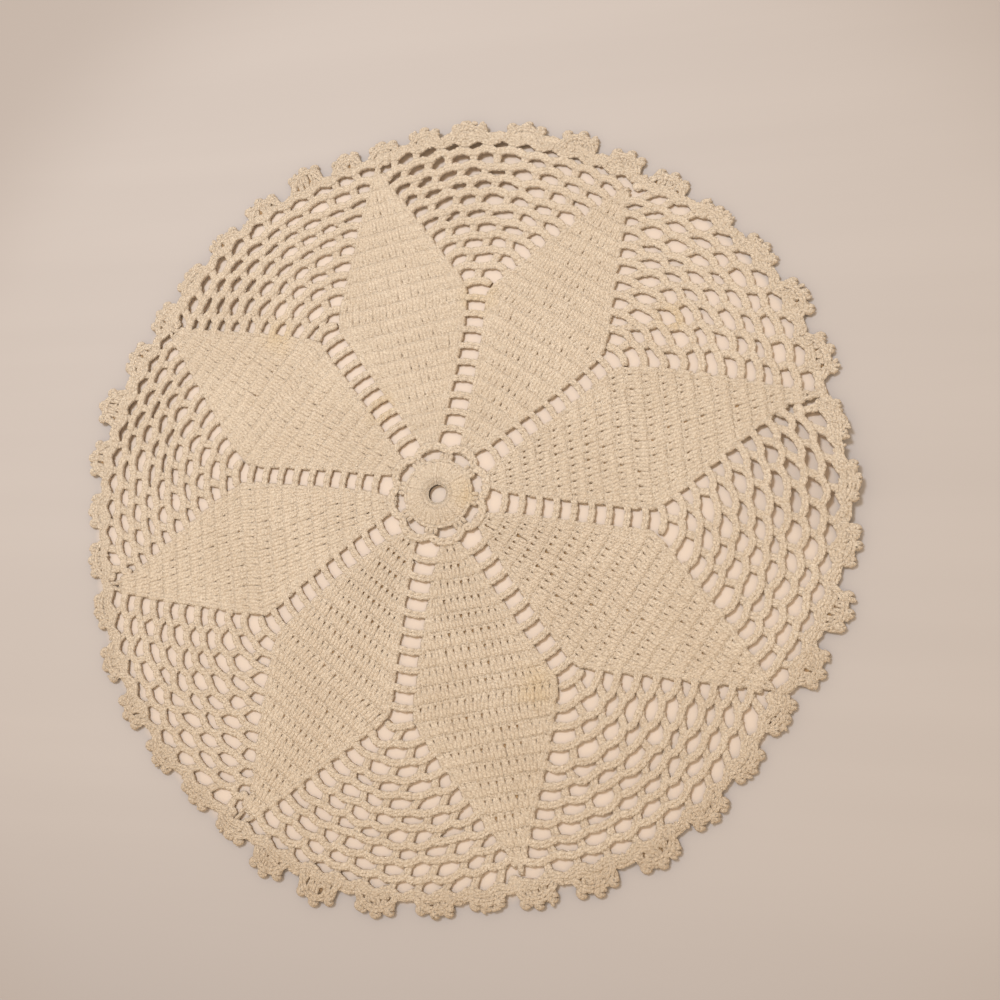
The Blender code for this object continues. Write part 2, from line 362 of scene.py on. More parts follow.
class Thread:
    """Closed tubes of thread, gathered as whole arrays and made into one mesh.

    LINK_ gives a chain link's legs from its foot to the next link's: their places along
    it, and their spread and rise as shares of the chain's.  POST_ gives a tall stitch's
    strands from foot to head in the same way, with their widths and drops, and OVER_ the
    thread that crosses them.  A tube of few sides is laid a little fuller than its oval.
    """

    LINK_PLACE = np.array([-0.15, 0.32, 0.86, 1.28])
    LINK_SPREAD = np.array([0.18, 0.70, 1.0, 0.42])
    LINK_RISE = np.array([-0.9, 0.45, 0.80, -0.8])
    POST_PLACE = np.array([0.0, 0.20, 0.40, 0.52, 0.84, 1.0])
    POST_SPREAD = np.array([0.4, 0.0, 0.05, 0.95, 1.0, 0.9])
    POST_WIDE = np.array([0.95, 0.93, 0.91, 1.06, 1.06, 1.0])
    POST_DROP = np.array([-0.22, -0.02, 0.0, 0.03, 0.02, -0.12]) * MM
    OVER_PLACE = np.array([-1.0, -0.35, 0.35, 1.0])
    OVER_RISE = np.array([-0.16, 0.08, 0.08, -0.16]) * MM
    BEAD_RINGS = 5
    BEAD_END = 0.12
    FULLER_SQUARE = 1.09
    FULLER = 1.04

    def __init__(self, layout: Layout) -> None:
        """Start with no tubes.

        Args:
            layout: what settles the tubes onto the table.
        """
        self.layout = layout
        self.points: list[Array] = []
        self.corners: list[Array] = []
        self.sizes: list[Array] = []
        self.maps: list[Array] = []
        self.count = 0

    def face(self, corners: Array, along: Array, around: Array) -> None:
        """Keep faces, given as rows of vertex numbers, with their map's two lengths.

        Args:
            corners: vertex numbers, with one face in each last row.
            along: each corner's place along its tube, in millimetres.
            around: each corner's place round its tube, in turns.
        """
        self.corners.append(corners.reshape(-1))
        self.sizes.append(np.full(corners.size // corners.shape[-1], corners.shape[-1]))
        self.maps.append(np.stack([along.reshape(-1), around.reshape(-1)], axis=-1))

    def skin(self, rings: Array, lengths: Array) -> None:
        """Keep closed skins over rings of points, with a flat face over each end.

        Args:
            rings: points shaped (tubes, rings, sides, 3), anticlockwise seen from the end.
            lengths: how far along its tube each ring lies, in millimetres.
        """
        tubes, count, sides = rings.shape[:3]
        self.points.append(rings.reshape(-1, 3))
        number = self.count + np.arange(tubes * count * sides).reshape(tubes, count, sides)
        self.count += tubes * count * sides
        onward = np.roll(number, -1, axis=2)
        quads = np.stack([number[:, :-1], onward[:, :-1], onward[:, 1:], number[:, 1:]], axis=-1)
        near = np.broadcast_to(lengths[:, :-1, None], quads.shape[:-1])
        far = np.broadcast_to(lengths[:, 1:, None], quads.shape[:-1])
        here = np.broadcast_to(np.arange(sides) / sides, quads.shape[:-1])
        after = here + 1.0 / sides
        self.face(quads, np.stack([near, near, far, far], axis=-1),
                  np.stack([here, after, after, here], axis=-1))
        around = np.broadcast_to(np.arange(sides) / sides, (tubes, sides))
        start = np.broadcast_to(lengths[:, :1], (tubes, sides))
        end = np.broadcast_to(lengths[:, -1:], (tubes, sides))
        self.face(number[:, 0, ::-1], start, around[:, ::-1])
        self.face(number[:, -1], end, around)

    def lay(self, paths: Array, wide: Array | float, high: Array | float | None = None,
            sides: int = 6) -> None:
        """Carry an oval along paths and close both its ends.

        A ring is p + n * wide * cos(a) + b * high * sin(a): n lies in plan square to the
        path, and b is square to the path and to n.

        Args:
            paths: points shaped (paths, points, 3), before they are settled.
            wide: half the oval's width, one for all or one for each point.
            high: half its height, the same as wide where it isn't given.
            sides: how many sides stand for the oval.
        """
        line = self.layout.settle(np.asarray(paths, dtype=float))
        wide = np.broadcast_to(wide, line.shape[:2])
        high = wide if high is None else np.broadcast_to(high, line.shape[:2])
        side = sideways(line)
        up = np.cross(unit(np.gradient(line, axis=1)), side)
        angle = TURN * (np.arange(sides) + 0.5) / sides
        out = side[:, :, None] * (wide[..., None] * np.cos(angle))[..., None]
        out = out + up[:, :, None] * (high[..., None] * np.sin(angle))[..., None]
        self.skin(line[:, :, None] + out, lengths_along(line) / MM)

    def twist(self, paths: Array, strands: int, reach: float, wide: float, lay: float,
              sides: int = 5) -> None:
        """Wind strands round paths.

        Strand k of m lies at the angle (k / m + length / lay) turns round its path.

        Args:
            paths: the middle lines, shaped (paths, points, 3).
            strands: how many strands are wound together.
            reach: how far each strand's middle lies from the path's.
            wide: half a strand's width.
            lay: the length of one turn.
            sides: how many sides each strand has.
        """
        length = lengths_along(paths)
        side = sideways(paths)
        for strand in range(strands):
            angle = TURN * (strand / strands + length / lay)
            line = paths + side * (reach * np.cos(angle))[..., None]
            line[..., 2] += reach * np.sin(angle)
            self.lay(line, wide, sides=sides)

    def chain(self, spines: Array, links: int, half: float, wide: float,
              rise: float) -> None:
        """Work chain stitches along spines.

        A link has two legs.  They leave the spine together, low, spread to half the
        chain's width as they rise, and close and dive again round the next link's foot.

        Args:
            spines: the middle lines, shaped (lines, points, 3).
            links: how many links each line has.
            half: how far a leg's middle lies from the spine at its widest.
            wide: half a leg's width.
            rise: how far the legs rise and dive from the spine's height.
        """
        points = len(self.LINK_PLACE)
        share = ((np.arange(links)[:, None] + self.LINK_PLACE) / links).reshape(-1)
        middle = trace(spines, share).reshape(len(spines), links, points, 3)
        side = trace(sideways(spines), share).reshape(middle.shape)
        middle[..., 2] += self.LINK_RISE * rise
        for hand in (-1.0, 1.0):
            legs = middle + hand * (self.LINK_SPREAD * half)[:, None] * side
            self.lay(legs.reshape(-1, points, 3), self.FULLER_SQUARE * wide, sides=4)

    def post(self, feet: Array, heads: Array, half: float, wide: float, high: float,
             middle: float, gather: Array | float = 0.6) -> None:
        """Work tall stitches from feet to heads.

        Two strands stand gathered at the foot and spread towards the head.  The thread
        that was laid over the hook crosses them half way up.

        Args:
            feet: plan points of the feet, shaped (stitches, 2).
            heads: plan points of the heads.
            half: how far each strand's middle lies from the stitch's at the head.
            wide: half a strand's width.
            high: half a strand's height.
            middle: the height of the strands' middle line.
            gather: how wide a stitch is at its foot, as a share of its head: one for all
                or one row for each stitch.
        """
        spread = (gather + (1.0 - gather) * self.POST_SPREAD) * half
        broad = wide * self.POST_WIDE
        step = (heads - feet)[:, None]
        side = unit(square(step))
        line = feet[:, None] + self.POST_PLACE[:, None] * step
        for hand in (-1.0, 1.0):
            strand = at_height(line + hand * spread[..., None] * side, middle + self.POST_DROP)
            self.lay(strand, self.FULLER * broad, self.FULLER * high, sides=5)
        cross = self.OVER_PLACE[:, None]
        over = feet[:, None] + (0.5 + 0.13 * cross) * step
        over = over + cross * (half + 0.50 * wide) * side
        arch = middle + high - 0.74 * wide + self.OVER_RISE
        self.lay(at_height(over, arch), 0.70 * wide, sides=4)

    def bead(self, centres: Array, along: Array, reach: float, wide: Array | float,
             high: Array | float) -> None:
        """Work round knots of thread: an oval whose width follows a half sine.

        Args:
            centres: the knots' middles, shaped (knots, 3).
            along: the unit plan direction of each, shaped (knots, 2).
            reach: how far a knot reaches to each side along its direction.
            wide: half its width at the middle, one for all or one for each knot.
            high: half its height at the middle.
        """
        place = np.cos(np.linspace(math.pi, 0.0, self.BEAD_RINGS))
        swell = np.maximum(np.sqrt(1.0 - place**2), self.BEAD_END)
        line = np.repeat(centres[:, None], self.BEAD_RINGS, axis=1)
        line[..., :2] += reach * place[:, None] * along[:, None]
        wide = np.broadcast_to(wide, len(centres))[:, None] * swell
        high = np.broadcast_to(high, len(centres))[:, None] * swell
        self.lay(line, self.FULLER * wide, self.FULLER * high, sides=6)

    def piece(self, name: str, material: bpy.types.Material) -> bpy.types.Object:
        """Make the gathered tubes one object, ride it on the body and give it its finish.

        Args:
            name: the piece's name.
            material: its finish.

        Returns:
            The new object.
        """
        mesh = bpy.data.meshes.new(name)
        points = np.concatenate(self.points)
        corners = np.concatenate(self.corners)
        sizes = np.concatenate(self.sizes)
        mesh.vertices.add(len(points))
        mesh.vertices.foreach_set("co", points.astype(np.float32).ravel())
        mesh.loops.add(len(corners))
        mesh.loops.foreach_set("vertex_index", corners.astype(np.int32))
        mesh.polygons.add(len(sizes))
        starts = np.concatenate([[0], np.cumsum(sizes)[:-1]]).astype(np.int32)
        mesh.polygons.foreach_set("loop_start", starts)
        mesh.update(calc_edges=True)
        mesh.polygons.foreach_set("use_smooth", np.ones(len(sizes), dtype=bool))
        layer = mesh.uv_layers.new(name="thread")
        layer.data.foreach_set("uv", np.concatenate(self.maps).astype(np.float32).ravel())
        mesh.validate()
        mesh.materials.append(material)
        piece = bpy.data.objects.new(name, mesh)
        bpy.context.scene.collection.objects.link(piece)
        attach(piece, BODY)
        LOG.info("%s: %d faces", name, len(sizes))
        return piece


class Graph:
    """A short way to place and join the nodes of one tree."""

    def __init__(self, tree: bpy.types.NodeTree) -> None:
        """Take a tree and empty it."""
        self.tree = tree
        tree.nodes.clear()

    def add(self, kind: str, **inputs: object) -> bpy.types.Node:
        """Add a node; each input is a value or a socket, named with _ for a space.

        Args:
            kind: the node's type.
            inputs: what each named input takes.

        Returns:
            The new node.
        """
        node = self.tree.nodes.new(kind)
        for name, value in inputs.items():
            self.put(node, name.replace("_", " "), value)
        return node

    def put(self, node: bpy.types.Node, name: str | int, value: object) -> None:
        """Set one input of a node, or join a socket to it.

        Args:
            node: the node.
            name: the input's name or number.
            value: a plain value, or a socket of another node.
        """
        if isinstance(value, bpy.types.NodeSocket):
            self.tree.links.new(value, node.inputs[name])
        else:
            node.inputs[name].default_value = value

    def math(self, operation: str, *values: object) -> bpy.types.NodeSocket:
        """Return the outcome of one Math node.

        Args:
            operation: the node's operation.
            values: its inputs, in order.

        Returns:
            The socket with the outcome.
        """
        node = self.tree.nodes.new("ShaderNodeMath")
        node.operation = operation
        for place, value in enumerate(values):
            self.put(node, place, value)
        return node.outputs[0]

    def ramp(self, value: object, low: float, high: float, start: float = 0.0,
             end: float = 1.0) -> bpy.types.NodeSocket:
        """Return a value carried smoothly from low..high to start..end.

        Args:
            value: what is carried.
            low: the value that gives start.
            high: the value that gives end.
            start: the outcome at low and before it.
            end: the outcome at high and past it.

        Returns:
            The socket with the outcome.
        """
        node = self.tree.nodes.new("ShaderNodeMapRange")
        node.interpolation_type = "SMOOTHSTEP"
        for place, entry in enumerate((value, low, high, start, end)):
            self.put(node, place, entry)
        return node.outputs[0]

    def mix(self, share: object, first: object, second: object) -> bpy.types.NodeSocket:
        """Return two colours mixed by a share.

        Args:
            share: how much of the second colour there is.
            first: the colour at the share 0.
            second: the colour at the share 1.

        Returns:
            The socket with the outcome.
        """
        node = self.tree.nodes.new("ShaderNodeMix")
        node.data_type = "RGBA"
        for place, entry in ((0, share), (6, first), (7, second)):
            self.put(node, place, entry)
        return node.outputs[2]

    def noise(self, where: bpy.types.NodeSocket, scale: float, detail: float,
              roughness: float = 0.5) -> bpy.types.NodeSocket:
        """Return a noise that varies over places.

        Args:
            where: the places.
            scale: how fine the noise is.
            detail: how many finer layers it has.
            roughness: how strong the finer layers are.

        Returns:
            The socket with the outcome.
        """
        node = self.add("ShaderNodeTexNoise", Vector=where, Scale=scale, Detail=detail,
                        Roughness=roughness)
        return node.outputs[0]

    def stretch(self, where: bpy.types.NodeSocket,
                scale: tuple[float, float, float]) -> bpy.types.NodeSocket:
        """Return places stretched along each axis."""
        return self.add("ShaderNodeMapping", Vector=where, Scale=scale).outputs[0]

    def away(self, where: bpy.types.NodeSocket,
             point: tuple[float, float, float] = (0.0, 0.0, 0.0)) -> bpy.types.NodeSocket:
        """Return how far places lie from a point.

        Args:
            where: the places.
            point: the point.

        Returns:
            The socket with the outcome.
        """
        node = self.tree.nodes.new("ShaderNodeVectorMath")
        node.operation = "DISTANCE"
        self.put(node, 0, where)
        self.put(node, 1, point)
        return node.outputs["Value"]

    def effect(self, tree: bpy.types.NodeTree) -> bpy.types.NodeOutputs:
        """Place a node group and return its outputs.

        Args:
            tree: the group's tree.

        Returns:
            The group's outputs, by name.
        """
        node = self.tree.nodes.new("ShaderNodeGroup")
        node.node_tree = tree
        return node.outputs


def srgb(red: int, green: int, blue: int) -> Colour:
    """Return a screen colour as the linear colour that a shader takes.

    Args:
        red: the red level, up to 255.
        green: the green level.
        blue: the blue level.

    Returns:
        The linear colour, with a full alpha.
    """
    def linear(level: int) -> float:
        """Return one channel's linear value."""
        share = level / 255.0
        return share / 12.92 if share <= 0.04045 else ((share + 0.055) / 1.055) ** 2.4
    return (linear(red), linear(green), linear(blue), 1.0)


def group(name: str, takes: dict[str, float], gives: dict[str, str]) -> tuple[Graph, dict]:
    """Start a node group.

    Args:
        name: the group's name.
        takes: its inputs, all numbers, with what each is unless it is set.
        gives: its outputs, each with its kind of socket.

    Returns:
        The group's graph, and its sockets: one for each input, and "out" for its end.
    """
    tree = bpy.data.node_groups.new(name, "ShaderNodeTree")
    for key, value in takes.items():
        socket = tree.interface.new_socket(key, in_out="INPUT", socket_type="NodeSocketFloat")
        socket.default_value = value
    for key, kind in gives.items():
        tree.interface.new_socket(key, in_out="OUTPUT", socket_type=kind)
    graph = Graph(tree)
    start = graph.add("NodeGroupInput")
    sockets = {key: start.outputs[key] for key in takes}
    sockets["out"] = graph.add("NodeGroupOutput")
    return graph, sockets


class Blemish(Enum):
    """Old stains in the cotton: a place on the mat, in metres, and a reach."""

    LADDER_TOP = (0.009, 0.055, 0.007)
    LADDER_LEFT = (-0.017, 0.024, 0.006)
    NET_LEFT = (-0.050, 0.047, 0.007)
    RING_EDGE = (0.009, 0.000, 0.006)
    NET_RIGHT = (0.062, 0.047, 0.006)
    PETAL_LOW = (0.030, -0.048, 0.008)


@dataclass(frozen=True)
class CottonEffects:
    """The effects that the thread and the ground under it share, as node groups.

    fibre, streak, broad, fine and ragged are noises: a scale, how many finer layers it
    has, and how strong they are.
    """

    plies: float = 3.0
    turn_mm: float = 2.3
    ply_share: float = 0.25
    crown_power: float = 0.6
    # Where the grooves between the plies take painted shade.
    groove_shade_edges: tuple[float, float] = (0.15, 0.7)
    fibre: tuple[float, float, float] = (2100.0, 3.0, 0.75)
    streak: tuple[float, float, float] = (1.0, 2.0, 0.6)
    streak_share: float = 1.1
    streak_stretch: tuple[float, float, float] = (0.9, 11.0, 1.0)
    broad: tuple[float, float, float] = (38.0, 3.0, 0.55)
    fine: tuple[float, float, float] = (1900.0, 3.0, 0.7)
    tone_edges: tuple[float, float] = (0.3, 0.7)
    ragged: tuple[float, float, float] = (260.0, 2.0, 0.5)
    stain_level: float = 0.002
    stain_edges: tuple[float, float] = (0.4, 1.6)
    # rim_start to near_y shape painted shade: the cotton darkens towards the front (-Y), most at
    # the outer rim.
    rim_start: float = 0.097
    rim_end: float = 0.106
    rim_least: float = 0.25
    near_y: float = -0.085

    def ply(self) -> bpy.types.NodeTree:
        """Build the twist of the thread.

        Its height is |sin(pi (u plies / turn + v plies))|, with u the millimetres along
        a strand and v the turns round it, and fine fibres stand on it.

        Returns:
            The group, which puts out a height and the mask of painted shade in the grooves.
        """
        graph, ends = group("thread_twist", {"Plies": self.plies, "Turn": self.turn_mm},
                            {"Height": "NodeSocketFloat", "GrooveShade": "NodeSocketFloat"})
        uv = graph.add("ShaderNodeUVMap")
        uv.uv_map = "thread"
        parts = graph.add("ShaderNodeSeparateXYZ", Vector=uv.outputs[0])
        along = graph.math("DIVIDE", parts.outputs[0], ends["Turn"])
        turns = graph.math("ADD", along, parts.outputs[1])
        wave = graph.math("SINE", graph.math("MULTIPLY", turns, graph.math(
            "MULTIPLY", ends["Plies"], math.pi)))
        crown = graph.math("POWER", graph.math("ABSOLUTE", wave), self.crown_power)
        where = graph.add("ShaderNodeTexCoord").outputs["Object"]
        fibre = graph.noise(where, *self.fibre)
        streak = graph.noise(graph.stretch(uv.outputs[0], self.streak_stretch), *self.streak)
        height = graph.math("MULTIPLY_ADD", fibre, 1.0,
                            graph.math("MULTIPLY", crown, self.ply_share))
        height = graph.math("MULTIPLY_ADD", streak, self.streak_share, height)
        graph.put(ends["out"], "Height", height)
        graph.put(ends["out"], "GrooveShade", graph.ramp(crown, *self.groove_shade_edges, 1.0, 0.0))
        return graph.tree

    def tint(self) -> bpy.types.NodeTree:
        """Build the masks of the cotton's tone: broad, fine, its stains, and painted shade at
        the front.

        Returns:
            The group, which puts out the four masks.
        """
        graph, ends = group("cotton_tone", {"Stain": 1.0},
                            {"Broad": "NodeSocketFloat", "Fine": "NodeSocketFloat",
                             "Stained": "NodeSocketFloat", "FrontRimShade": "NodeSocketFloat"})
        where = graph.add("ShaderNodeTexCoord").outputs["Object"]
        broad = graph.noise(where, *self.broad)
        fine = graph.noise(where, *self.fine)
        ragged = graph.noise(where, *self.ragged)
        total: object = 0.0
        for spot in Blemish:
            x, y, reach = spot.value
            away = graph.away(where, (x, y, self.stain_level))
            worn = graph.math("MULTIPLY_ADD", ragged, reach, away)
            full, none = (edge * reach for edge in self.stain_edges)
            mask = graph.ramp(worn, full, none, 1.0, 0.0)
            total = graph.math("MAXIMUM", total, mask)
        # Painted shade: darker towards the front (-Y), most at the outer rim.
        rim = graph.ramp(graph.away(where), self.rim_start, self.rim_end, self.rim_least, 1.0)
        parts = graph.add("ShaderNodeSeparateXYZ", Vector=where)
        low = graph.ramp(parts.outputs[1], self.near_y, 0.0, 1.0, 0.0)
        graph.put(ends["out"], "FrontRimShade", graph.math("MULTIPLY", rim, low))
        graph.put(ends["out"], "Broad", graph.ramp(broad, *self.tone_edges))
        graph.put(ends["out"], "Fine", graph.ramp(fine, *self.tone_edges))
        graph.put(ends["out"], "Stained", graph.math("MULTIPLY", total, ends["Stain"]))
        return graph.tree


@dataclass(frozen=True)
class Cotton:
    """Cream cotton for the thread on top, or a darker copy as painted shade on the ground below.

    The shares say how much of each effect's colour is mixed in where its mask is full.
    """

    name: str
    tone: Colour
    warm: Colour
    # The colour of the fine grain, and of painted shade in the grooves between the plies.
    grain_and_groove_shade: Colour
    stain: Colour = srgb(222, 190, 128)
    # Painted shade towards the front (-Y), most at the outer rim.
    front_rim_shade: Colour = srgb(184, 156, 124)
    grain_share: float = 0.58
    stain_share: float = 0.28
    front_rim_shade_share: float = 0.34
    groove_shade_share: float = 0.14
    relief: float = 0.0005
    roughness: float = 0.86
    sheen: float = 0.15
    sheen_roughness: float = 0.5
    specular: float = 0.2

    def make(self, ply: bpy.types.NodeTree, tint: bpy.types.NodeTree) -> bpy.types.Material:
        """Build the material from the two shared effects.

        Args:
            ply: the twist of the thread.
            tint: the masks of the cotton's tone.

        Returns:
            The material.
        """
        material = bpy.data.materials.new(self.name)
        material.use_nodes = True
        graph = Graph(material.node_tree)
        twist = graph.effect(ply)
        tone = graph.effect(tint)
        base = graph.mix(tone["Broad"], self.tone, self.warm)
        # The grain and the stains are the cotton's own colour; the front mix and the groove mix
        # are painted shade.
        for mask, share, colour in ((tone["Fine"], self.grain_share, self.grain_and_groove_shade),
                                    (tone["Stained"], self.stain_share, self.stain),
                                    (tone["FrontRimShade"], self.front_rim_shade_share, self.front_rim_shade),
                                    (twist["GrooveShade"], self.groove_shade_share, self.grain_and_groove_shade)):
            base = graph.mix(graph.math("MULTIPLY", mask, share), base, colour)
        bump = graph.add("ShaderNodeBump", Height=twist["Height"], Strength=1.0,
                         Distance=self.relief)
        shader = graph.add("ShaderNodeBsdfPrincipled", Normal=bump.outputs[0], Base_Color=base,
                           Roughness=self.roughness, Sheen_Weight=self.sheen,
                           Sheen_Roughness=self.sheen_roughness,
                           Specular_IOR_Level=self.specular)
        graph.add("ShaderNodeOutputMaterial", Surface=shader.outputs[0])
        return material


@dataclass
class Petal:
    """One close-worked kite: rows of tall stitches across its centre line.

    gather and thick are a stitch's width at its foot, as a share of its head, and half a
    strand's width, in millimetres: first in the closest work, then how much each falls
    where the stitches are loose, and how much of that fall is missing at the tip.
    """

    index: int
    layout: Layout
    foot: float = 12.5 * MM
    first_top: float = 14.6 * MM
    row: float = 4.3 * MM
    rows: int = 20
    stitch: float = 2.0 * MM
    least: float = 0.9 * MM
    level: float = 0.98 * MM
    floor: float = 0.60 * MM
    floor_rim: float = 0.30 * MM
    floor_inset: float = 0.45 * MM
    floor_stop: float = 4.5 * MM
    floor_near: float = 0.35
    floor_from: float = 25.0 * MM
    floor_ramp: float = 35.0 * MM
    uneven: float = 0.11 * MM
    sink: float = 0.55 * MM
    overlap: float = 0.1 * MM
    tight_from: float = 22.0 * MM
    tight_ramp: float = 38.0 * MM
    gather: tuple[float, float, float] = (0.80, 0.46, 0.24)
    gather_uneven: float = 0.11
    thick: tuple[float, float, float] = (0.75, 0.12, 0.07)
    post_half: float = 0.50 * MM
    post_high: float = 0.52 * MM
    chain_level: float = 0.84 * MM
    chain_half: float = 0.32 * MM
    chain_wide: float = 0.46 * MM
    chain_rise: float = 0.12 * MM
    back_level: float = 0.42 * MM
    back_oval: tuple[float, float] = (0.54 * MM, 0.37 * MM)
    edge_inset: float = 0.75 * MM
    edge_level: float = 0.85 * MM
    edge_reach: float = 0.32 * MM
    edge_wide: float = 0.52 * MM

    @property
    def sector(self) -> Sector:
        """Return the sector whose petal this is."""
        return SECTORS[self.index]

    def plan(self, x: Array, y: Array) -> Array:
        """Return plan points from places across and along the centre line."""
        along = heading(np.radians(self.sector.petal_deg))
        return np.asarray(y)[..., None] * along + np.asarray(x)[..., None] * square(along)

    def spread(self, y: Array) -> tuple[Array, Array]:
        """Return the middle and the half width across the petal at places along it."""
        clockwise, onward = self.layout.petal_edges(self.index, np.atleast_1d(y))
        return (onward - clockwise) / 2.0, (onward + clockwise) / 2.0

    def row_ends(self, y: float) -> tuple[float, float]:
        """Return a slanted row's middle and half width, where it starts at y on the axis.

        Each end is the edge's reach at the height to which the row has risen by there.

        Args:
            y: where the row starts on the centre line.

        Returns:
            The row's middle and half width.
        """
        rise = math.tan(math.radians(self.sector.slant))
        clockwise, onward = self.layout.petal_edges(self.index, np.array([y]))
        for _ in range(3):
            clockwise = self.layout.petal_edges(self.index, y - clockwise * rise)[0]
            onward = self.layout.petal_edges(self.index, y + onward * rise)[1]
        return float(onward[0] - clockwise[0]) / 2.0, float(onward[0] + clockwise[0]) / 2.0

    def row_plan(self, x: Array, y: Array) -> Array:
        """Return plan points on slanted rows, from places along them and on the axis."""
        rise = math.tan(math.radians(self.sector.slant))
        return self.plan(x, np.asarray(y) + x * rise)

    def ground(self, thread: Thread) -> None:
        """Work the close ground, a slab from edge to edge with rounded sides, as painted shade.

        Args:
            thread: the thread that the work is gathered in.
        """
        y = np.linspace(self.foot, self.tip() - self.floor_stop, 50)
        middle, half = self.spread(y)
        keep = half > 0.5 * MM
        y, middle, half = y[keep], middle[keep], half[keep] - self.floor_inset
        top = np.cos(np.linspace(0.0, math.pi, 10))
        near = smooth((y - self.floor_from) / self.floor_ramp)
        near = self.floor_near + (1.0 - self.floor_near) * near
        rim = self.floor_rim * near[:, None] * (1.0 - np.abs(top) ** 6)
        across = np.concatenate([top, -top[1:-1]])
        lift = np.concatenate([rim, -rim[:, 1:-1]], axis=1)
        x = middle[:, None] + half[:, None] * across
        plan = self.plan(x, np.broadcast_to(y[:, None], x.shape))
        rings = self.layout.settle(at_height(plan, self.floor + lift))[None]
        thread.skin(rings, (y - y[0])[None] / MM)

    def work(self, thread: Thread) -> None:
        """Work the rows of stitches, the chain along each row's top, and both selvedges.

        Along a row, stitch k of n stands at the share s = (2k + 1) / n - 1 of the half
        width.  Where a row is wider than the next, its stitches close up near the edges
        by the cube of s, so that the columns in the middle run straight.  The gaps at the
        stitches' feet are smaller towards the tip.

        Args:
            thread: the thread that the work is gathered in.
        """
        chance = np.random.default_rng(self.index + 11)
        for row in range(self.rows):
            top = self.first_top + row * self.row
            low = top - self.row if row else self.foot
            ends = [self.row_ends(low), self.row_ends(top)]
            middle = np.array([end[0] for end in ends])
            half = np.array([end[1] for end in ends])
            if row > 3 and half[0] < self.least:
                break
            count = max(1, 2 * int(half.max() / self.stitch) + 1)
            share = (2.0 * np.arange(count) + 1.0) / count - 1.0
            wide, narrow = half.max(), half.min()
            outward = np.abs(share) / max(share.max(), 1e-9)
            closed = wide * share * (1.0 - (1.0 - narrow / wide) * outward**3)
            ends = (closed, wide * share) if half[1] > half[0] else (wide * share, closed)
            sway = chance.normal(0.0, self.uneven, (4, count))
            feet = self.row_plan(middle[0] + ends[0] + sway[0], low - self.sink + sway[1])
            heads = self.row_plan(middle[1] + ends[1] + sway[2], top - self.overlap + sway[3])
            size = 2.0 * wide / count / self.stitch
            tight = float(smooth(np.array((low - self.tight_from) / self.tight_ramp)))
            gather, thick = (close - (fall - less * tight) * self.sector.loose
                             for close, fall, less in (self.gather, self.thick))
            gather = gather + chance.normal(0.0, self.gather_uneven, (count, 1))
            thick = size * thick * MM
            thread.post(feet, heads, size * self.post_half, thick, self.post_high, self.level,
                        gather)
            self.chain_row(thread, middle[1], max(half[1], 0.5 * MM), top, count)
        self.selvedges(thread)

    def chain_row(self, thread: Thread, middle: float, half: float, y: float,
                  count: int) -> None:
        """Work the chain along a row's top, and the bars that show on the back.

        Args:
            thread: the thread that the work is gathered in.
            middle: the row's middle, across the centre line.
            half: the row's half width.
            y: where the row's top lies on the centre line.
            count: how many links the chain has.
        """
        x = middle + (half - 0.4 * MM) * np.linspace(-1.0, 1.0, 2 * count + 1)
        plan = self.row_plan(x, np.full_like(x, y))[None]
        thread.chain(at_height(plan, self.chain_level), count, self.chain_half,
                     self.chain_wide, self.chain_rise)
        thread.lay(at_height(plan[:, ::2], self.back_level), *self.back_oval, sides=4)

    def selvedges(self, thread: Thread) -> None:
        """Wind two strands along each long edge, with a turn for each row.

        Args:
            thread: the thread that the work is gathered in.
        """
        y = np.linspace(self.foot, self.tip(), 80)
        middle, half = self.spread(y)
        for hand in (-1.0, 1.0):
            plan = self.plan(middle + hand * np.maximum(half - self.edge_inset, 0.0), y)
            line = at_height(plan, self.edge_level)[None]
            thread.twist(line, 2, self.edge_reach, self.edge_wide, self.row)

    def tip(self) -> float:
        """Return how far out the petal ends.

        Returns:
            The distance along the centre line.
        """
        y = np.linspace(80.0 * MM, 101.0 * MM, 106)
        half = self.spread(y)[1]
        return float(y[half > 0.3 * MM].max())


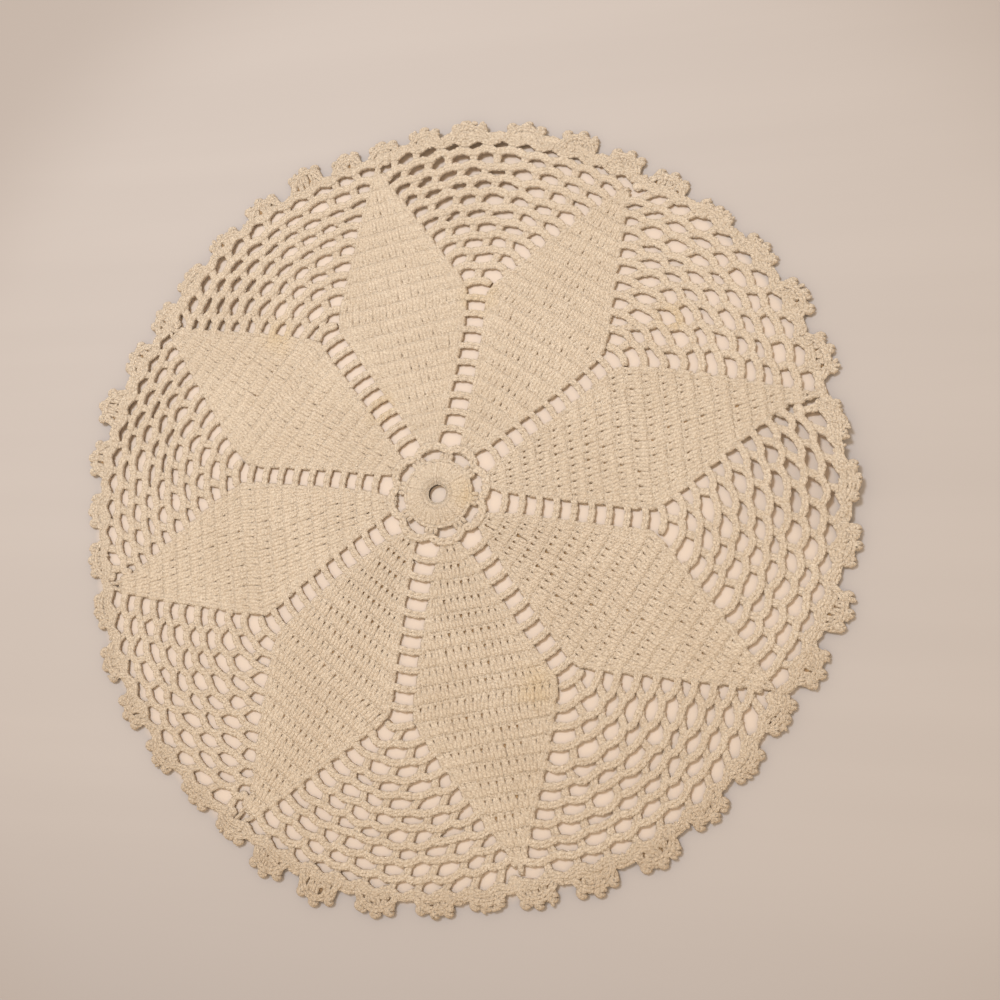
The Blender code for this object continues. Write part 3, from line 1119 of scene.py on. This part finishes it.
@dataclass
class Net:
    """One sector's ladder and the open net beyond it."""

    index: int
    layout: Layout
    links: int = 3
    samples: int = 13
    chain_half: float = 0.40 * MM
    chain_wide: float = 0.60 * MM
    chain_rise: float = 0.20 * MM
    bar_chain: tuple[float, float, float] = (0.50 * MM, 0.60 * MM, 0.22 * MM)
    bar_bow: float = 0.35 * MM
    jog: float = 0.52 * MM
    edge_jog: float = 0.3
    clear: float = 0.8 * MM
    arch: float = 1.1 * MM
    drawn: float = 0.045
    bar_level: float = 0.88 * MM
    arc_level: float = 0.82 * MM
    post_level: float = 0.80 * MM
    post_gather: float = 0.9
    knot_level: float = 0.78 * MM
    head_knot: float = 1.36 * MM
    foot_knot: float = 1.18 * MM
    lumps_each: int = 3
    back_level: float = 0.42 * MM
    back_high: float = 0.42 * MM
    knots: list[Array] = field(init=False)

    def __post_init__(self) -> None:
        """Place every knot, a little off its even place, on its side of the petal.

        The later rounds are drawn in a little, and the last one lies on the outer band.
        """
        chance = np.random.default_rng(self.index + 101)
        self.knots = []
        last = self.layout.net_rounds - 1
        for number in range(self.layout.net_rounds):
            drawn = self.drawn * max(number - 5, 0) if number < last else 0.0
            place = (np.arange(number + 2) - (number + 1) / 2.0) * self.layout.loop
            radius = self.layout.net_first + number * self.layout.net_pitch
            reach = math.radians(self.sector.petal_deg - self.sector.net_deg) * radius
            place = np.minimum(place, reach - self.clear)
            free = chance.normal(0.0, self.jog, (2, number + 2))
            free[:, [0, -1]] *= self.edge_jog
            rounds = number + 0.5 - drawn + 0.5 * free[1] / self.layout.net_pitch
            self.knots.append(self.layout.net_point(self.sector, rounds, place + free[0]))

    @property
    def sector(self) -> Sector:
        """Return the sector's directions."""
        return SECTORS[self.index]

    def bars(self) -> Array:
        """Return the ladder's bars: arcs that bow a little outward from edge to edge.

        Returns:
            The lines, shaped (bars, points, 3).
        """
        place = np.arange(self.layout.ladder_holes) - 0.5
        radius = self.layout.ladder_first + place * self.layout.ladder_pitch
        share = np.linspace(-1.0, 1.0, self.samples)
        deg = self.layout.ladder_deg(self.sector, radius)
        arc = np.degrees((self.sector.gap + 0.5) * MM / radius)
        bow = self.bar_bow * (1.0 - share**2)
        plan = polar(radius[:, None] + bow, deg[:, None] + arc[:, None] * share)
        return at_height(plan, self.bar_level)

    def arcs(self, number: int) -> Array:
        """Return the arcs of chain over one round of holes, from knot to knot.

        Each arc is the straight line between its knots, pushed outward by a sine.

        Args:
            number: the round, from the inside.

        Returns:
            The lines, shaped (arcs, points, 3).
        """
        knots = self.knots[number]
        chance = np.random.default_rng(1000 * self.index + number)
        share = np.linspace(0.0, 1.0, self.samples)[:, None]
        plan = knots[:-1, None] * (1.0 - share) + knots[1:, None] * share
        arch = self.arch * (1.0 + chance.normal(0.0, 0.20, (number + 1, 1, 1)))
        skew = 1.0 + chance.normal(0.0, 0.20, (number + 1, 1, 1))
        plan = plan + (arch * np.sin(math.pi * share**np.abs(skew)) - 0.35 * MM) * unit(plan)
        return at_height(plan, self.arc_level)

    def posts(self, number: int) -> tuple[Array, Array]:
        """Return the feet and heads of one round's posts, which stand on the arcs below.

        Args:
            number: the round that the posts hold up.

        Returns:
            The plan points of the feet and of the heads.
        """
        heads = self.knots[number]
        place = np.array([0.5 + self.sector.lean])
        below = trace(self.arcs(number - 1), place)[:, 0, :2]
        step = self.layout.net_point(self.sector, np.array([0.0]), np.array([0.0]))[0]
        out = unit(step) * 0.3 * self.layout.net_pitch
        feet = np.concatenate([heads[:1] - out, below, heads[-1:] - out])
        return feet, heads + 0.2 * MM * unit(heads - feet)

    @property
    def full(self) -> float:
        """Return how full the sector's thread is: loose work is a little slimmer."""
        return 1.12 + 0.20 * (1.0 - self.sector.loose)

    def ground(self, thread: Thread) -> None:
        """Work the cord of back bumps that lies under each bar and arc, darker as painted shade.

        Args:
            thread: the thread that the work is gathered in.
        """
        low = [(self.bars(), 0.96 * MM)]
        low += [(self.arcs(number), self.full * 0.78 * MM)
                for number in range(self.layout.net_rounds)]
        for lines, wide in low:
            thread.lay(at_height(lines[:, ::3, :2], self.back_level), 1.1 * wide,
                       self.back_high, sides=4)

    def work(self, thread: Thread) -> None:
        """Work the bars, the arcs and the posts, with a knot at both a post's ends.

        Args:
            thread: the thread that the work is gathered in.
        """
        full = self.full
        thread.chain(self.bars(), self.links, *self.bar_chain)
        chance = np.random.default_rng(self.index + 301)
        for number in range(self.layout.net_rounds):
            arcs = self.arcs(number)
            thread.chain(arcs, self.links, full * self.chain_half, full * self.chain_wide,
                         self.chain_rise)
            self.lumps(thread, chance, arcs)
        for number in range(1, self.layout.net_rounds):
            feet, heads = self.posts(number)
            thread.post(feet, heads, full * 0.34 * MM, full * 0.60 * MM, 0.50 * MM,
                        self.post_level, self.post_gather)
            lead = unit(heads - feet)
            self.knot(thread, heads - 0.5 * MM * lead, lead, full * self.head_knot)
            self.knot(thread, feet + 0.35 * MM * lead, lead, full * self.foot_knot)

    def lumps(self, thread: Thread, chance: np.random.Generator, arcs: Array) -> None:
        """Work the uneven lumps of the chain: knots at random places on each arc.

        Args:
            thread: the thread that the work is gathered in.
            chance: the random numbers, drawn in order.
            arcs: the arcs that they lie on.
        """
        share = np.sort(chance.uniform(0.1, 0.9, self.lumps_each))
        places = trace(arcs, share).reshape(-1, 3)
        places[:, :2] += chance.normal(0.0, 0.16 * MM, (len(places), 2))
        places[:, 2] = chance.uniform(0.85, 1.05, len(places)) * MM
        along = heading(chance.uniform(0.0, math.pi, len(places)))
        wide = self.full * chance.uniform(0.5, 0.8, len(places)) * MM
        thread.bead(places, along, 0.82 * self.full * MM, wide, 0.46 * MM)

    def knot(self, thread: Thread, places: Array, lead: Array, reach: float) -> None:
        """Work the knots where a post meets an arc: each lies across its post."""
        centres = at_height(places, self.knot_level)
        thread.bead(centres, square(lead), reach, 0.66 * reach, 0.60 * MM)


@dataclass
class Ring:
    """The ring at the middle: stitches worked over a loop, and eight chain arcs round it.

    reach and rise give a strand's places from the hole outward, and their heights.
    """

    layout: Layout
    strands: int = 56
    crest: float = 5.6 * MM
    half: float = 2.8 * MM
    middle: float = 1.05 * MM
    reach: tuple[float, ...] = (3.0, 2.66, 3.3, 4.7, 6.4, 8.0, 9.0)
    rise: tuple[float, ...] = (1.1, 1.65, 2.2, 2.42, 2.15, 1.65, 1.0)
    links: int = 24
    loop_level: float = 1.2 * MM
    strand_high: float = 0.34 * MM
    chain_at: float = 8.6 * MM
    chain: tuple[float, float, float] = (0.52 * MM, 0.52 * MM, 0.3 * MM)
    lumps: int = 64
    arc_links: int = 5
    arc_chain: tuple[float, float, float] = (0.66 * MM, 0.62 * MM, 0.26 * MM)
    arc_cord: tuple[float, float] = (1.15 * MM, 0.52 * MM)
    post_deg: float = 3.8
    post_from: float = 8.0 * MM
    post_to: float = 10.9 * MM
    arc_foot: float = 11.1 * MM
    arc_crest: float = 13.3 * MM
    arc_level: float = 1.1 * MM
    arc_back: float = 0.66 * MM
    arc_lumps: int = 7

    def loop(self, radius: float, level: float, count: int) -> Array:
        """Return one line round the centre, closed on itself."""
        plan = polar(np.full(count, radius), np.linspace(0.0, 360.0, count))
        return at_height(plan, level)[None]

    def ground(self, thread: Thread) -> None:
        """Work the loop of thread that the ring's stitches are worked over, darker as painted
        shade.
        """
        thread.lay(self.loop(self.crest, self.loop_level, 73), self.half, 0.95 * MM, sides=12)

    def work(self, thread: Thread) -> None:
        """Work the radial stitches, above and below, then their chain and the arcs.

        Args:
            thread: the thread that the work is gathered in.
        """
        chance = np.random.default_rng(7)
        deg = np.arange(self.strands) + chance.normal(0.0, 0.16, self.strands)
        deg = deg * 360.0 / self.strands
        radius = np.array(self.reach) * MM
        rise = np.array(self.rise) * MM
        wide = np.maximum(radius * math.pi / self.strands * 1.85, 0.23 * MM)
        swing = chance.normal(0.0, 1.2, (self.strands, 1)) * np.linspace(-1.0, 1.0, len(radius))
        for level in (rise, self.middle - 0.40 * (rise - self.middle)):
            turn = deg[:, None] + swing
            plan = polar(np.broadcast_to(radius, turn.shape), turn)
            height = level + chance.normal(0.0, 0.05 * MM, (self.strands, 1))
            thread.lay(at_height(plan, height), wide, self.strand_high, sides=5)
        rim = self.loop(self.chain_at, self.loop_level, 4 * self.links + 1)
        thread.chain(rim, self.links, *self.chain)
        turn = chance.uniform(0.0, 360.0, self.lumps)
        reach = chance.uniform(7.4, 8.9, self.lumps) * MM
        centres = at_height(polar(reach, turn), chance.uniform(1.25, 1.5, self.lumps) * MM)
        along = polar(np.ones(self.lumps), turn + chance.normal(60.0, 30.0, self.lumps))
        thread.bead(centres, along, 0.75 * MM, 0.5 * MM, 0.42 * MM)
        self.arcs(thread)

    def arcs(self, thread: Thread) -> None:
        """Work the eight arcs, each held to the ring by a short post at both its ends.

        Args:
            thread: the thread that the work is gathered in.
        """
        spines = []
        feet = []
        heads = []
        for index, sector in enumerate(SECTORS):
            after = SECTORS[(index + 1) % len(SECTORS)]
            onward = after.ladder_deg + (360.0 if index + 1 == len(SECTORS) else 0.0)
            share = np.linspace(0.0, 1.0, 21)
            swell = np.maximum(np.sin(math.pi * share), 0.0) ** 0.6
            radius = self.arc_foot + (self.arc_crest - self.arc_foot) * swell
            deg = sector.ladder_deg + share * (onward - sector.ladder_deg)
            spines.append(polar(radius, deg))
            for turn in (-self.post_deg, self.post_deg):
                side = np.array(sector.ladder_deg + turn)
                feet.append(polar(np.array(self.post_from), side))
                heads.append(polar(np.array(self.post_to), side))
        plan = np.stack(spines)
        line = at_height(plan, self.arc_level)
        thread.chain(line, self.arc_links, *self.arc_chain)
        thread.lay(at_height(plan, self.arc_back), *self.arc_cord, sides=6)
        thread.post(np.stack(feet), np.stack(heads), 0.6 * MM, 0.6 * MM, 0.5 * MM, 1.2 * MM)
        chance = np.random.default_rng(70)
        places = trace(line, np.linspace(0.06, 0.94, self.arc_lumps)).reshape(-1, 3)
        places = places + chance.normal(0.0, 0.12 * MM, places.shape)
        places[:, 2] = 1.32 * MM
        along = heading(chance.uniform(0.0, math.pi, len(places)))
        thread.bead(places, along, 1.0 * MM, 0.8 * MM, 0.5 * MM)


@dataclass(frozen=True)
class Scallop:
    """One scallop: its middle direction, the degrees to its neighbours' halves, its reach."""

    middle: float
    before: float
    after: float
    reach: float
    notch: float

    def deg(self, share: Array) -> Array:
        """Return directions at shares of the way to the notch before or after."""
        return self.middle + share * np.where(share < 0.0, self.before, self.after)

    def radius(self, rise: Array) -> Array:
        """Return radii at shares of the way from the notch to the reach."""
        return self.notch + (self.reach - self.notch) * rise


@dataclass
class Edging:
    """The outer band and the scallops on it, each with three small loops.

    bands gives the band's two chains: how far in from its middle each lies, its links
    for each of the band's, and how far it waves round the holes of the last round.
    """

    layout: Layout
    band: float = 101.3 * MM
    swell: float = 0.6 * MM
    links: int = 200
    bands: tuple[tuple[float, int, float], ...] = ((-0.35, 1, 0.3), (0.5, 2, 0.75))
    knots: int = 420
    core_level: float = 0.7 * MM
    plate_level: float = 0.55 * MM
    band_level: float = 1.0 * MM
    band_chain: tuple[float, float, float] = (0.44 * MM, 0.54 * MM, 0.26 * MM)
    fans: int = 5
    fan_foot: float = 0.5 * MM
    fan_post: tuple[float, float, float] = (0.48 * MM, 0.54 * MM, 0.52 * MM)
    fan_level: float = 1.0 * MM
    edge_links: int = 7
    edge_chain: tuple[float, float, float] = (0.50 * MM, 0.54 * MM, 0.28 * MM)
    edge_level: float = 1.15 * MM
    lumps_each: int = 12
    nub: float = 0.67 * MM
    nub_thread: float = 0.84 * MM
    nub_level: float = 1.12 * MM

    def band_radius(self, deg: Array) -> Array:
        """Return the band's radius at directions: it swells over each net.

        Args:
            deg: directions in degrees.

        Returns:
            The radii.
        """
        knots = []
        phase = []
        for turn in (-360.0, 0.0, 360.0):
            for sector in SECTORS:
                knots += [sector.net_deg + turn, sector.petal_deg + turn]
                phase += [1.0, -1.0]
        order = np.argsort(knots)
        wave = np.interp(deg, np.asarray(knots)[order], np.asarray(phase)[order])
        return self.band + self.swell * np.sin(wave * math.pi / 2.0)

    def holes(self, deg: Array) -> Array:
        """Return a wave over directions: 1 at the middle of each hole of the last round.

        Args:
            deg: directions in degrees.

        Returns:
            The wave, from -1 to 1.
        """
        turns = np.array([sector.net_deg for sector in SECTORS])
        away = (deg[:, None] - turns + 180.0) % 360.0 - 180.0
        nearest = np.take_along_axis(away, np.abs(away).argmin(axis=1)[:, None], axis=1)[:, 0]
        return np.cos(np.radians(nearest) * self.band / self.layout.loop * TURN)

    def scallops(self) -> list[Scallop]:
        """Return the scallops, anticlockwise.

        Returns:
            The scallops, in the order of the sectors.
        """
        tips = [tip for sector in SECTORS for tip in sector.scallops]
        found = []
        for place, (deg, reach) in enumerate(tips):
            last = tips[place - 1][0] - (360.0 if place == 0 else 0.0)
            after = tips[(place + 1) % len(tips)][0] + (360.0 if place + 1 == len(tips) else 0.0)
            found.append(Scallop(deg, (deg - last) / 2.0, (after - deg) / 2.0, reach * MM,
                                 self.layout.notch))
        return found

    def ground(self, thread: Thread) -> None:
        """Work the band's core and a thin plate under each scallop's fan, both darker as painted
        shade.

        Args:
            thread: the thread that the work is gathered in.
        """
        deg = np.linspace(0.0, 360.0, 361)
        plan = polar(self.band_radius(deg) + 0.25 * MM + 0.4 * MM * self.holes(deg), deg)
        thread.lay(at_height(plan, self.core_level)[None], 0.94 * MM, 0.52 * MM, sides=6)
        for scallop in self.scallops():
            share = np.linspace(-0.56, 0.56, 9)
            around = scallop.deg(share)
            low = self.band_radius(around) - 0.2 * MM
            high = scallop.radius(0.62 - 0.8 * share**4)
            plan = polar((low + high) / 2.0, around)
            thread.lay(at_height(plan, self.plate_level)[None],
                       1.05 * ((high - low) / 2.0)[None], 0.38 * MM, sides=6)

    def work(self, thread: Thread) -> None:
        """Work the band's chains and knots, then every scallop.

        Args:
            thread: the thread that the work is gathered in.
        """
        deg = np.linspace(0.0, 360.0, 4 * self.links + 1)
        holes = self.holes(deg)
        for inward, links, wave in self.bands:
            sway = 0.15 * MM * np.sin(np.radians(deg * 23.0 + inward * 80.0))
            radius = self.band_radius(deg) - inward * MM + sway + wave * MM * holes
            thread.chain(at_height(polar(radius, deg), self.band_level)[None],
                         links * self.links, *self.band_chain)
        chance = np.random.default_rng(44)
        turn = chance.uniform(0.0, 360.0, self.knots)
        reach = self.band_radius(turn) + chance.uniform(-0.35, 1.3, self.knots) * MM
        level = chance.uniform(1.05, 1.45, self.knots) * MM
        along = polar(np.ones(self.knots), turn + chance.normal(0.0, 40.0, self.knots))
        thread.bead(at_height(polar(reach, turn), level), along, 0.95 * MM,
                    chance.uniform(0.45, 0.70, self.knots) * MM, 0.44 * MM)
        for scallop in self.scallops():
            self.fan(thread, chance, scallop)
            self.lumps(thread, chance, scallop)
            self.nubs(thread, chance, scallop)

    def fan(self, thread: Thread, chance: np.random.Generator, scallop: Scallop) -> None:
        """Work one scallop's short stitches on the band, and the chain along its edge.

        Args:
            thread: the thread that the work is gathered in.
            chance: the random numbers, drawn in order.
            scallop: the scallop.
        """
        share = np.linspace(-0.50, 0.50, self.fans)
        share = share + chance.normal(0.0, 0.025, self.fans)
        around = scallop.deg(1.2 * share)
        feet = polar(self.band_radius(around) + self.fan_foot, around)
        heads = polar(scallop.radius(0.66 - 0.75 * share**4), scallop.deg(share))
        thread.post(feet, heads, *self.fan_post, self.fan_level)
        share = np.linspace(-0.72, 0.72, 25)
        rise = 1.0 - (np.abs(share) / 0.74) ** 2.6
        radius = scallop.notch - 0.8 * MM + (scallop.reach - scallop.notch - 1.7 * MM) * rise
        line = at_height(polar(radius, scallop.deg(share)), self.edge_level)[None]
        thread.chain(line, self.edge_links, *self.edge_chain)

    def lumps(self, thread: Thread, chance: np.random.Generator, scallop: Scallop) -> None:
        """Work the knots that stand here and there over a scallop's stitches.

        Args:
            thread: the thread that the work is gathered in.
            chance: the random numbers, drawn in order.
            scallop: the scallop.
        """
        count = self.lumps_each
        share = np.linspace(-0.5, 0.5, count) + chance.normal(0.0, 0.03, count)
        rise = chance.uniform(0.0, 0.8, count) * (1.0 - 0.8 * share**4)
        plan = polar(scallop.radius(rise), scallop.deg(share))
        level = chance.uniform(1.10, 1.35, count) * MM
        along = heading(chance.uniform(0.0, math.pi, count))
        wide = chance.uniform(0.50, 0.72, count) * MM
        thread.bead(at_height(plan, level), along, 1.0 * MM, wide, 0.46 * MM)

    def nubs(self, thread: Thread, chance: np.random.Generator, scallop: Scallop) -> None:
        """Work the three small loops along a scallop's edge.

        Args:
            thread: the thread that the work is gathered in.
            chance: the random numbers, drawn in order.
            scallop: the scallop.
        """
        place = np.array([-0.50, 0.0, 0.50]) + chance.normal(0.0, 0.02, 3)
        outer = scallop.radius(np.array([0.84, 1.0, 0.84]))
        size = self.nub * (1.0 + chance.normal(0.0, 0.08, (3, 1, 1)))
        centre = polar(outer - self.nub - self.nub_thread, scallop.deg(place))
        turn = np.linspace(0.0, TURN, 10)
        loop = centre[:, None] + size * heading(turn)
        level = self.nub_level + 0.12 * MM * np.cos(turn * 2.0)
        thread.lay(at_height(loop, level), thread.FULLER * self.nub_thread, sides=5)


@dataclass(frozen=True)
class Stage:
    """The table, the light and the camera.

    The table is plain, with painted light a little lighter under the mat, and painted
    shade that darkens it towards the front and away from the middle.
    """

    table: float = 3.0
    tones: tuple[Colour, Colour] = (srgb(183, 176, 175), srgb(185, 178, 177))
    streak: tuple[float, float] = (1.0, 4.0)
    streak_stretch: tuple[float, float, float] = (3.0, 45.0, 1.0)
    streak_edges: tuple[float, float] = (0.35, 0.65)
    # Painted light: within these radii, under the mat, the table is lighter.
    under: tuple[float, float] = (0.1005, 0.1045)
    under_light_tone: Colour = srgb(223, 207, 194)
    # Painted shade: the table darkens towards the front (-Y) and away from the middle.
    front: tuple[float, float] = (-0.16, -0.06)
    front_shade_tone: Colour = srgb(173, 167, 168)
    outer: tuple[float, float] = (0.15, 0.21)
    outer_shade_tone: Colour = srgb(173, 165, 163)
    roughness: float = 0.7
    specular: float = 0.25
    key_turn: float = 119.0
    key_tilt: float = 73.0
    key_away: float = 0.50
    key_size: float = 0.12
    key_power: float = 1.45
    key_colour: tuple[float, float, float] = (0.82, 0.91, 1.0)
    fill_level: float = 0.92
    fill_colour: Colour = (1.0, 0.82, 0.60, 1.0)
    eye: tuple[float, float, float] = (0.08332, -0.04968, 0.24934)
    aim: tuple[float, float, float] = (0.01810, -0.00143, 0.0015)
    lens: float = 36.0
    sensor: float = 36.0
    nearest: float = 0.01

    def build(self) -> None:
        """Build everything that isn't part of the mat, seen through the plain view."""
        bpy.context.scene.view_settings.view_transform = "Standard"
        self.floor()
        self.lights()
        self.camera()

    def link(self, name: str, data: bpy.types.ID) -> bpy.types.Object:
        """Put a new object with its data into the scene.

        Args:
            name: the object's name.
            data: its mesh, light or camera.

        Returns:
            The object.
        """
        thing = bpy.data.objects.new(name, data)
        bpy.context.scene.collection.objects.link(thing)
        return thing

    def paint(self) -> bpy.types.Material:
        """Build the table's matt paint, with faint streaks, painted shade and painted light on
        it.

        Returns:
            The material.
        """
        material = bpy.data.materials.new("table_paint")
        material.use_nodes = True
        graph = Graph(material.node_tree)
        where = graph.add("ShaderNodeTexCoord").outputs["Object"]
        streak = graph.noise(graph.stretch(where, self.streak_stretch), *self.streak)
        away = graph.away(where)
        ahead = graph.add("ShaderNodeSeparateXYZ", Vector=where).outputs[1]
        tone = graph.mix(graph.ramp(streak, *self.streak_edges), *self.tones)
        # Painted shade towards the front and away from the middle, then painted light under the
        # mat.
        tone = graph.mix(graph.ramp(ahead, *self.front, 1.0, 0.0), tone, self.front_shade_tone)
        tone = graph.mix(graph.ramp(away, *self.outer), tone, self.outer_shade_tone)
        tone = graph.mix(graph.ramp(away, *self.under, 1.0, 0.0), tone, self.under_light_tone)
        shader = graph.add("ShaderNodeBsdfPrincipled", Base_Color=tone,
                           Roughness=self.roughness, Specular_IOR_Level=self.specular)
        graph.add("ShaderNodeOutputMaterial", Surface=shader.outputs[0])
        return material

    def floor(self) -> None:
        """Lay a plain pale table top."""
        mesh = bpy.data.meshes.new("table_top")
        half = self.table / 2.0
        mesh.from_pydata([(-half, -half, 0.0), (half, -half, 0.0), (half, half, 0.0),
                          (-half, half, 0.0)], [], [(0, 1, 2, 3)])
        mesh.materials.append(self.paint())
        self.link("table_top", mesh)

    def lights(self) -> None:
        """Hang a soft key light from the upper left, and light the room evenly."""
        light = bpy.data.lights.new("key", "AREA")
        light.shape = "DISK"
        light.size = self.key_size
        light.energy = self.key_power
        light.color = self.key_colour
        turn = math.radians(self.key_turn)
        tilt = math.radians(self.key_tilt)
        flat = self.key_away * math.cos(tilt)
        place = Vector((flat * math.cos(turn), flat * math.sin(turn),
                        self.key_away * math.sin(tilt)))
        aim = place.to_track_quat("Z", "Y").to_matrix().to_4x4()
        self.link("key", light).matrix_world = Matrix.Translation(place) @ aim
        world = bpy.data.worlds.new("room")
        world.use_nodes = True
        graph = Graph(world.node_tree)
        sky = graph.add("ShaderNodeBackground", Color=self.fill_colour, Strength=self.fill_level)
        graph.add("ShaderNodeOutputWorld", Surface=sky.outputs[0])
        bpy.context.scene.world = world

    def camera(self) -> None:
        """Stand the camera over the table, with the image's top towards +Y."""
        data = bpy.data.cameras.new("camera")
        data.lens = self.lens
        data.sensor_width = self.sensor
        data.clip_start = self.nearest
        eye = Vector(self.eye)
        back = (eye - Vector(self.aim)).normalized()
        up = back.cross(Vector((1.0, 0.0, 0.0))).normalized()
        turn = Matrix((up.cross(back), up, back)).transposed()
        camera = self.link("camera", data)
        camera.matrix_world = Matrix.Translation(eye) @ turn.to_4x4()
        bpy.context.scene.camera = camera


def main() -> None:
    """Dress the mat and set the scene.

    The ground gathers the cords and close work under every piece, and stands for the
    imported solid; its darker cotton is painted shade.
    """
    logging.basicConfig(level=logging.INFO, format="%(name)s: %(message)s")
    layout = Layout()
    effects = CottonEffects()
    ply = effects.ply()
    tint = effects.tint()
    cotton = Cotton("cotton_thread", tone=srgb(243, 228, 211), warm=srgb(236, 220, 202),
                    grain_and_groove_shade=srgb(183, 158, 130)).make(ply, tint)
    # The ground's cotton is a darker, browner copy of the thread's: painted shade between and
    # under the stitches.
    close = Cotton("cotton_painted_shade", tone=srgb(196, 162, 122), warm=srgb(188, 154, 114),
                   grain_and_groove_shade=srgb(156, 122, 88)).make(ply, tint)
    parts = {"ring": Ring(layout)}
    for index in range(len(SECTORS)):
        parts[f"petal_{index + 1}"] = Petal(index, layout)
        parts[f"net_{index + 1}"] = Net(index, layout)
    parts["edging"] = Edging(layout)
    ground = Thread(layout)
    for name, part in parts.items():
        part.ground(ground)
        thread = Thread(layout)
        part.work(thread)
        thread.piece(name, cotton)
    base = ground.piece("ground", close)
    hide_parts(NODE)
    Stage().build()


if __name__ == "__main__":
    main()
